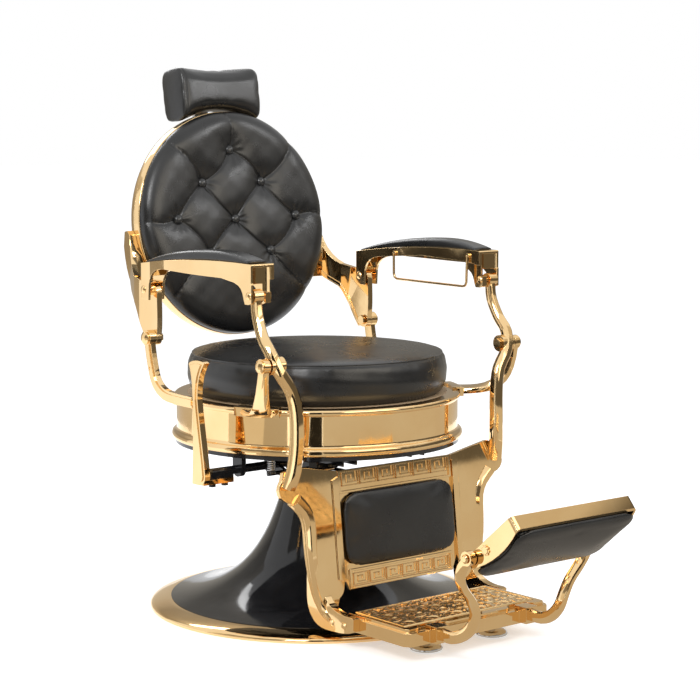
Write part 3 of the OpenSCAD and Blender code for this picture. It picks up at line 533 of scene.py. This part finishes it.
# section of the rolled front edge of the gold shell, which holds the leather in
RIM = [(0.2270, -0.0341), (0.2271, -0.0240), (0.2270, RIM_FRONT - 0.0016), (0.2264, RIM_FRONT - 0.0004),
       (0.2254, RIM_FRONT), (0.2240, RIM_FRONT - 0.0002), (0.2231, RIM_FRONT - 0.0012), (0.2230, -0.0341)]
RIM_STEPS = 192
verts, faces = rings_mesh([circle(r, w, RIM_STEPS) for r, w in RIM + RIM[:1]], capped=False)
rim = add_mesh("back_shell_rim", [on_back @ Vector(p) for p in verts], faces, GOLD)
trim_piece(rim, "back")

# each button is a dome on a stem, and sits in its tuft
BUTTON_R, BUTTON_RISE, STEM_R, BUTTON_STEPS = 0.0106, 0.0088, 0.0078, 32


def button_rings(u, v):
    z0 = back_height(u, v)
    rings = [circle(STEM_R, z0 - 0.002, BUTTON_STEPS, u, v)]
    for k in range(13):
        t = math.radians(-35 + 125 * k / 12)
        r, rise = BUTTON_R * math.cos(t) + 0.0002, BUTTON_RISE * math.sin(t)
        rings.append(circle(r, z0 + 0.0046 + rise, BUTTON_STEPS, u, v))
    return [[on_back @ Vector(p) for p in ring] for ring in rings]


verts, faces = [], []
for u, v, _, _ in TUFTS:
    more_verts, more_faces = rings_mesh(button_rings(u, v))
    faces += [tuple(i + len(verts) for i in face) for face in more_faces]
    verts += more_verts
# the caps wear the lighter copy of the leather, which is painted light
buttons = add_mesh("back_button_caps", verts, faces, BUTTON_LEATHER_PAINTED_LIGHTER)
soft_piece(buttons, "back", "back_buttons")

# ---------------------------------------------------------------- headrest pillow
PILLOW_HALF, PILLOW_SHIFT, PILLOW_ROWS, PILLOW_STEPS = 0.0985, -0.002, 44, 56


def pillow_mesh():
    """A bone-shaped bolster along x, deeper and taller towards its ends."""
    rings = []
    for i in range(PILLOW_ROWS + 1):
        u = math.sin(math.pi / 2 * (-1 + 2 * i / PILLOW_ROWS))
        close = math.sqrt(max(0, 1 - 0.14 * abs(u) ** 26))
        top = (0.0430 + 0.0085 * u * u) * close
        foot = (0.0400 + 0.0195 * u * u + 0.0045 * u ** 8) * close
        deep = (0.0355 + 0.0030 * u * u) * close
        rings.append([(PILLOW_HALF * u + PILLOW_SHIFT, y, z * (top if z > 0 else foot))
                      for y, z in oval(deep, 1, 4.2, PILLOW_STEPS)])
    return rings_mesh(rings)


def seam_groove(o, matrix, at, width, depth):
    """Presses a sewn groove round the piece where |x| is near at, in the piece's own frame."""
    back_to = matrix.inverted()
    centre = matrix @ Vector((0, 0, 0))
    axis = (matrix.to_3x3() @ Vector((1, 0, 0))).normalized()
    for v in o.data.vertices:
        x = (back_to @ v.co).x
        t = math.exp(-((abs(x) - at) / width) ** 2)
        if t > 0.01:
            away = (v.co - centre) - axis * (v.co - centre).dot(axis)
            v.co -= away.normalized() * depth * t


verts, faces = pillow_mesh()
pillow = add_mesh("headrest_pillow_leather", [on_pillow @ Vector(p) for p in verts], faces, LEATHER)
inflate(pillow, voxel=0.0042, pressure=4.0, cap=0.003)
subdivide(pillow)
seam_groove(pillow, on_pillow, at=0.0915, width=0.0016, depth=0.0022)
soft_piece(pillow, "headrest", "headrest_pillow")

# ---------------------------------------------------------------- armrest pads
# the arched crest of an armrest as (y, z), the inner side of its pad, and the middle and half of its length
ARM_CREST = bezier([(0.186, 0.671), (0.060, 0.688), (-0.070, 0.694), (-0.188, 0.690)], 96)
ARM_INNER, ARM_STEPS = 0.2545, 40
ARM_MID, ARM_HALF = -0.001, 0.181


def arm_pad_mesh(side):
    """The armrest pad: a lens along the arched crest, fullest towards its front and narrower to the rear."""
    rings = []
    for y, z in ARM_CREST[4:-4]:
        s = (y - ARM_MID) / ARM_HALF
        close = math.sqrt(max(0, 1 - abs(s) ** 14 * 0.9))
        skew = (s + 0.28) / (1.28 if s > -0.28 else 0.72)
        high = 0.0012 + 0.0172 * max(0, 1 - abs(skew) ** 2.4)
        outer = 0.3015 - 0.015 * (max(0, y) / 0.15) ** 1.6
        mid, half = (outer + ARM_INNER) / 2, (outer - ARM_INNER) / 2 * (0.8 + 0.2 * close)
        ring = []
        for i in range(ARM_STEPS + 1):
            a = math.pi * i / ARM_STEPS
            x = mid + half * math.copysign(abs(math.cos(a)) ** 0.5, math.cos(a))
            ring.append((side * x, y, z + 0.0004 + high * math.sin(a) ** 0.7))
        rings.append(ring if side < 0 else list(reversed(ring)))
    return rings_mesh(rings)


for side, word in ((1, "left"), (-1, "right")):
    pad = add_mesh(f"armrest_pad_{word}_leather", *arm_pad_mesh(side), LEATHER)
    soft_piece(pad, f"armrest_{word}", f"armrest_pad_{word}")


# ---------------------------------------------------------------- calf pad and footrest pad
PAD_PRESSURE, HELD_BELOW = 2.5, 0.003


def pad_mesh(a, b, h, power, edge):
    """A crowned pad on z = 0, a by b in half widths and h high, drawn in at its foot."""
    wall_rows, shoulder_rows, top_rows, around = 10, 14, 24, 120
    foot = edge * 0.35
    rows = []
    for k in range(wall_rows + 1):
        t = k / wall_rows
        rows.append((foot * (1 - math.sin(math.pi / 2 * t)), h * 0.5 * t))
    for k in range(1, shoulder_rows + 1):
        t = k / shoulder_rows
        rows.append((edge * (1 - math.sqrt(1 - t * t * 0.96)), h * (0.5 + 0.32 * math.sin(math.pi / 2 * t))))
    x0, z0 = rows[-1]
    for k in range(1, top_rows + 1):
        t = k / top_rows
        rows.append((x0 + t * (min(a, b) - x0) * 0.985, z0 + (h - z0) * math.sin(math.pi / 2 * t)))
    return rings_mesh([[(x, y, z) for x, y in oval(a - inset, b - inset, power, around)]
                       for inset, z in rows])


def soft_pad(name, size, power, edge, matrix, body, replaced, cap, voxel, shape=None):
    """A stuffed pad, swollen by the cloth simulation and held flat where it is fixed.

    With a shape, the pad hangs below its foot, and shape moves its points in the pad's own frame."""
    verts, faces = pad_mesh(*size, power, edge)
    if shape:
        faces = [tuple(reversed(f)) for f in faces]
        matrix = matrix @ Matrix.Diagonal((1, 1, -1, 1))
    o = add_mesh(name, [matrix @ Vector(p) for p in verts], faces, LEATHER)
    to_pad = matrix.inverted()
    inflate(o, voxel, PAD_PRESSURE, cap, held=lambda p: (to_pad @ p).z < HELD_BELOW)
    subdivide(o)
    if shape:
        for v in o.data.vertices:
            v.co = matrix @ shape(to_pad @ v.co)
    soft_piece(o, body, replaced)


CALF_PAD, CALF_MID, CALF_FOOT = (0.1362, 0.0716, 0.0145), -0.1185, 0.0062
TRAY_PAD, TRAY_MID, TRAY_FOOT = (0.1402, 0.0652, 0.0460), 0.053, 0.0027
# lower edge of the tray's rim, as (y from the pins, depth)
RIM_EDGE = bezier([(0.116, 0.022), (0.088, 0.032), (0.034, 0.036), (-0.019, 0.012)], 24)


def eased(t):
    t = max(0.0, min(1.0, t))
    return t * t * (3 - 2 * t)


def over_rim(p):
    """Below the edge of the tray's rim the pad swells out over it."""
    y = p.y + TRAY_MID
    edge = 0.020 if y > 0.116 else min(RIM_EDGE, key=lambda q: abs(q[0] - y))[1]
    grow = 0.0062 * eased((p.z - TRAY_FOOT - edge - 0.0012) / 0.0035)
    for k in (0, 1):
        p[k] += math.copysign(grow * eased((abs(p[k]) / TRAY_PAD[k] - 0.72) / 0.26), p[k])
    return p


soft_pad("calf_pad_leather", CALF_PAD, 6, 0.011,
         on_panel @ Matrix.Translation((0, CALF_MID, CALF_FOOT)),
         "leg", "calf_pad", cap=0.0025, voxel=0.005)
soft_pad("footrest_pad_leather", TRAY_PAD, 10, 0.012,
         on_footrest @ Matrix.Translation((0, TRAY_MID, TRAY_FOOT)),
         "footrest", "footrest_pad", cap=0.001, voxel=0.004, shape=over_rim)

# ---------------------------------------------------------------- Greek key relief on the panel
KEY_BORDER, KEY_CELLS, KEY_Z0, KEY_Z1 = 0.0042, 6, 0.0055, 0.0078
# one cell of the meander on a grid of 8 by 6: the hook, and the line under it and up its far side
KEY_LINES = ([(0.5, 0), (0.5, 6), (6.6, 6), (6.6, 1.3), (2.6, 1.3), (2.6, 4.4), (4.7, 4.4), (4.7, 2.8)],
             [(0.5, 0), (7.6, 0), (7.6, 6)])


def strip(verts, faces, p, q, width):
    """Adds a raised bar with sloping sides from p to q, in a flat frame."""
    p, q = Vector(p), Vector(q)
    d = (q - p).normalized()
    side = Vector((-d.y, d.x))
    p, q = p - d * width / 2, q + d * width / 2
    base = len(verts)
    for half, z in ((width / 2, KEY_Z0), (width / 2 * 0.62, KEY_Z1)):
        cut = width / 2 - half
        for end, way in ((p + d * cut, -1), (q - d * cut, -1), (q - d * cut, 1), (p + d * cut, 1)):
            corner = end + side * way * half
            verts.append((corner.x, corner.y, z))
    for f in ((4, 5, 6, 7), (0, 1, 5, 4), (1, 2, 6, 5), (2, 3, 7, 6), (3, 0, 4, 7)):
        faces.append(tuple(base + i for i in f))


def greek_key(name, half, low, high):
    """A band of the meander across the panel, half wide each way, between the heights low and high."""
    verts, faces = [], []
    y0, y1 = low + KEY_BORDER + 0.0035, high - KEY_BORDER - 0.0035
    pitch = 2 * (half - KEY_BORDER - 0.003) / KEY_CELLS
    across, up = pitch / 8, (y1 - y0) / 6
    for cell in range(KEY_CELLS):
        x0 = -half + KEY_BORDER + 0.003 + pitch * cell
        for pts in KEY_LINES:
            grid = [(x0 + x * across, y0 + y * up) for x, y in pts]
            for a, b in zip(grid, grid[1:]):
                strip(verts, faces, a, b, up * 0.62)
    trim_piece(add_mesh(name, [on_panel @ Vector(v) for v in verts], faces, CARVED, smooth=False), "leg")


greek_key("greek_key_top", 0.139, -0.0445, -0.0025)
greek_key("greek_key_bottom", 0.127, -0.228, -0.192)

# ---------------------------------------------------------------- carved treads
CARVING_PITCH, CARVING_STEP = 0.058, 0.0012


def carving(x, y):
    """Height of the tread's relief: rows of rosettes with leaves between them."""
    dx = x - (math.floor(x / CARVING_PITCH) + 0.5) * CARVING_PITCH
    dy = y - (math.floor(y / CARVING_PITCH) + 0.5) * CARVING_PITCH
    r, a = math.hypot(dx, dy) / CARVING_PITCH, math.atan2(dy, dx)
    petal = max(0, math.cos(4 * a)) ** 0.6 * math.exp(-((r - 0.26) / 0.12) ** 2)
    heart = math.exp(-(r / 0.08) ** 2)
    leaf = max(0, math.cos(4 * a + math.pi)) * math.exp(-((r - 0.52) / 0.1) ** 2)
    ring = math.exp(-((r - 0.44) / 0.025) ** 2)
    return min(1, petal + heart + leaf + 0.6 * ring)


def relief(x, y, edge):
    """The carving, inside a flat lip and a raised bead along the plate's edge."""
    if edge < 0.001:
        return 0
    return carving(x, y) if edge > 0.005 else 0.8 * math.sin(math.pi * edge / 0.005)


def carved_plate(name, x_range, y_range, z, depth, matrix, body):
    (x0, x1), (y0, y1) = x_range, y_range
    nx, ny = int((x1 - x0) / CARVING_STEP), int((y1 - y0) / CARVING_STEP)
    verts = []
    for j in range(ny + 1):
        for i in range(nx + 1):
            x, y = x0 + (x1 - x0) * i / nx, y0 + (y1 - y0) * j / ny
            h = relief(x, y, min(x - x0, x1 - x, y - y0, y1 - y))
            verts.append(matrix @ Vector((x, y, z + depth * h)))
    starts = [j * (nx + 1) + i for j in range(ny) for i in range(nx)]
    faces = [(a, a + 1, a + nx + 2, a + nx + 1) for a in starts]
    trim_piece(add_mesh(name, verts, faces, CARVED), body)


carved_plate("platform_carving", (-0.160, 0.160), (-0.440, -0.305), 0.0602, 0.0024, Matrix.Identity(4), "leg")
carved_plate("tread_carving", (-0.138, 0.138), (-0.012, 0.118), 0.0071, 0.0018, on_footrest, "footrest")

# ---------------------------------------------------------------- studio: floor and world
FLOOR_HALF, FLOOR_Z, FLOOR_LIFT = 30, -0.0005, 0.42
DAYLIGHT = (0.72, 0.73, 0.75, 1)
WHITE = (1, 1, 1, 1)


def stage_object(name, mesh, material):
    mesh.materials.append(material)
    o = bpy.data.objects.new(name, mesh)
    scene.collection.objects.link(o)
    return o


def floor_material():
    """A pale matt floor; rays from the camera and from shiny surfaces see it a little lifted."""
    m, t, bsdf = new_material("floor")
    cloud = node(t, "ShaderNodeTexNoise", {"Scale": 3.0}).outputs["Fac"]
    t.links.new(ramp(t, cloud, [(0.3, grey(0.93)), (0.7, grey(0.96))]), bsdf.inputs["Base Color"])
    bsdf.inputs["Roughness"].default_value = 0.9
    bsdf.inputs["Specular IOR Level"].default_value = 0.0
    glow = node(t, "ShaderNodeEmission", {"Color": WHITE, "Strength": FLOOR_LIFT})
    both = node(t, "ShaderNodeAddShader")
    seen = node(t, "ShaderNodeMixShader")
    rays = node(t, "ShaderNodeLightPath").outputs
    seen_by = node(t, "ShaderNodeMath", operation="MAXIMUM")
    t.links.new(rays["Is Camera Ray"], seen_by.inputs[0])
    t.links.new(rays["Is Glossy Ray"], seen_by.inputs[1])
    t.links.new(bsdf.outputs[0], both.inputs[0])
    t.links.new(glow.outputs[0], both.inputs[1])
    t.links.new(seen_by.outputs[0], seen.inputs["Fac"])
    t.links.new(bsdf.outputs[0], seen.inputs[1])
    t.links.new(both.outputs[0], seen.inputs[2])
    t.links.new(seen.outputs[0], t.nodes["Material Output"].inputs["Surface"])
    return m


def white_world():
    """A soft grey sky for matt surfaces, and white for the camera, mirrors and glass."""
    world = bpy.data.worlds.new("world")
    world.use_nodes = True
    t = world.node_tree
    rays = node(t, "ShaderNodeLightPath").outputs
    seen = node(t, "ShaderNodeMath", operation="ADD")
    seen_or_through = node(t, "ShaderNodeMath", operation="ADD")
    t.links.new(rays["Is Camera Ray"], seen.inputs[0])
    t.links.new(rays["Is Glossy Ray"], seen.inputs[1])
    t.links.new(seen.outputs[0], seen_or_through.inputs[0])
    t.links.new(rays["Is Transmission Ray"], seen_or_through.inputs[1])
    sky = node(t, "ShaderNodeMixRGB", {"Color1": DAYLIGHT, "Color2": WHITE})
    t.links.new(seen_or_through.outputs[0], sky.inputs["Fac"])
    t.links.new(sky.outputs["Color"], t.nodes["Background"].inputs["Color"])
    t.nodes["Background"].inputs["Strength"].default_value = 1.0
    return world


grid = bmesh.new()
bmesh.ops.create_grid(grid, x_segments=2, y_segments=2, size=FLOOR_HALF)
floor_mesh = bpy.data.meshes.new("floor")
grid.to_mesh(floor_mesh)
stage_object("floor", floor_mesh, floor_material()).location = (0, 0, FLOOR_Z)
scene.world = white_world()


# ---------------------------------------------------------------- studio: lamps and cards
def area_light(name, location, target, size, power):
    d = bpy.data.lights.new(name, "AREA")
    d.shape = "RECTANGLE"
    d.size, d.size_y = size
    d.energy = power
    o = bpy.data.objects.new(name, d)
    o.location = location
    o.rotation_euler = (Vector(target) - Vector(location)).to_track_quat("-Z", "Y").to_euler()
    scene.collection.objects.link(o)


area_light("key", (-2.6, -1.6, 2.6), (0, 0, 0.5), (1.2, 1.0), 42)
area_light("fill", (2.2, -2.4, 1.9), (0, 0, 0.6), (0.9, 1.2), 24)
area_light("rim", (0.6, 2.6, 2.2), (0, 0, 0.6), (1.8, 0.8), 22)

# height at which a card's ramp of greys ends, and the turn in degrees of one of its flat pieces
RAMP_HEIGHT, CARD_STEP = 1.6, 4
CARD_TINT = (1.04, 0.965, 0.84)


def card(name, verts, faces, material, glow):
    """A studio card that only shiny surfaces see."""
    tree = material.node_tree
    tree.links.new(glow.outputs[0], tree.nodes["Material Output"].inputs["Surface"])
    mesh = bpy.data.meshes.new(name)
    mesh.from_pydata(verts, [], faces)
    o = stage_object(name, mesh, material)
    for kind in ("camera", "diffuse", "transmission", "volume_scatter", "shadow"):
        setattr(o, f"visible_{kind}", False)


def curved_card(name, start, end, levels, distance=1.25, strength=1.0):
    """A standing card between two bearings in degrees; levels are (height, grey)."""
    steps = max(2, int(abs(end - start) / CARD_STEP))
    foot, head = levels[0][0], levels[-1][0]
    verts = []
    for k in range(steps + 1):
        a = math.radians(start + (end - start) * k / steps)
        verts += [(distance * math.cos(a), distance * math.sin(a), z) for z in (foot, head)]
    faces = [(2 * k, 2 * k + 2, 2 * k + 3, 2 * k + 1) for k in range(steps)]
    m, t, _ = new_material(name)
    split = node(t, "ShaderNodeSeparateXYZ")
    t.links.new(object_coords(t), split.inputs[0])
    height = node(t, "ShaderNodeMath", {1: 1 / RAMP_HEIGHT}, operation="MULTIPLY")
    t.links.new(split.outputs["Z"], height.inputs[0])
    glow = node(t, "ShaderNodeEmission", {"Strength": strength})
    stops = [(z / RAMP_HEIGHT, tuple(v * tint for tint in CARD_TINT)) for z, v in levels]
    t.links.new(ramp(t, height.outputs[0], stops), glow.inputs["Color"])
    card(name, verts, faces, m, glow)


curved_card("card_black_front", -134.5, -125.5, [(0.002, 0.02), (1.1, 0.02)], 1.2)
curved_card("card_front_right", -125, -8,
            [(0.002, 0.60), (0.280, 0.58), (0.290, 0.12), (0.82, 0.12), (0.92, 0.6), (1.3, 0.65)])
curved_card("card_front_left", -150, -167.5, [(0.002, 0.45), (0.35, 0.50), (0.55, 0.25), (1.2, 0.20)])
curved_card("card_left", -167.5, -197, [(0.002, 0.72), (0.40, 0.74), (0.55, 0.25), (1.2, 0.20)])
curved_card("card_rear", -20, 118, [(0.15, 0.60), (0.45, 0.48), (0.60, 0.32), (0.95, 0.36), (1.3, 0.6)], 1.5)
curved_card("soft_box_front", -109, -66, [(0.70, 0.5), (0.90, 0.9), (1.5, 1.0)], 1.2, 2.8)

# a flat card on the floor, a sector in front of the base
LOW_START, LOW_TURN, LOW_STEPS, LOW_Z, LOW_RADII = -172, 166, 40, 0.0006, (0.345, 1.24)
low_turn = [math.radians(LOW_START + LOW_TURN * k / LOW_STEPS) for k in range(LOW_STEPS + 1)]
verts = [(r * math.cos(a), r * math.sin(a), LOW_Z) for a in low_turn for r in LOW_RADII]
faces = [(2 * k, 2 * k + 1, 2 * k + 3, 2 * k + 2) for k in range(LOW_STEPS)]
low_material, t, _ = new_material("card_low")
card("card_low", verts, faces, low_material, node(t, "ShaderNodeEmission", {"Color": (0.56, 0.50, 0.42, 1)}))

scene.view_settings.view_transform = "Standard"
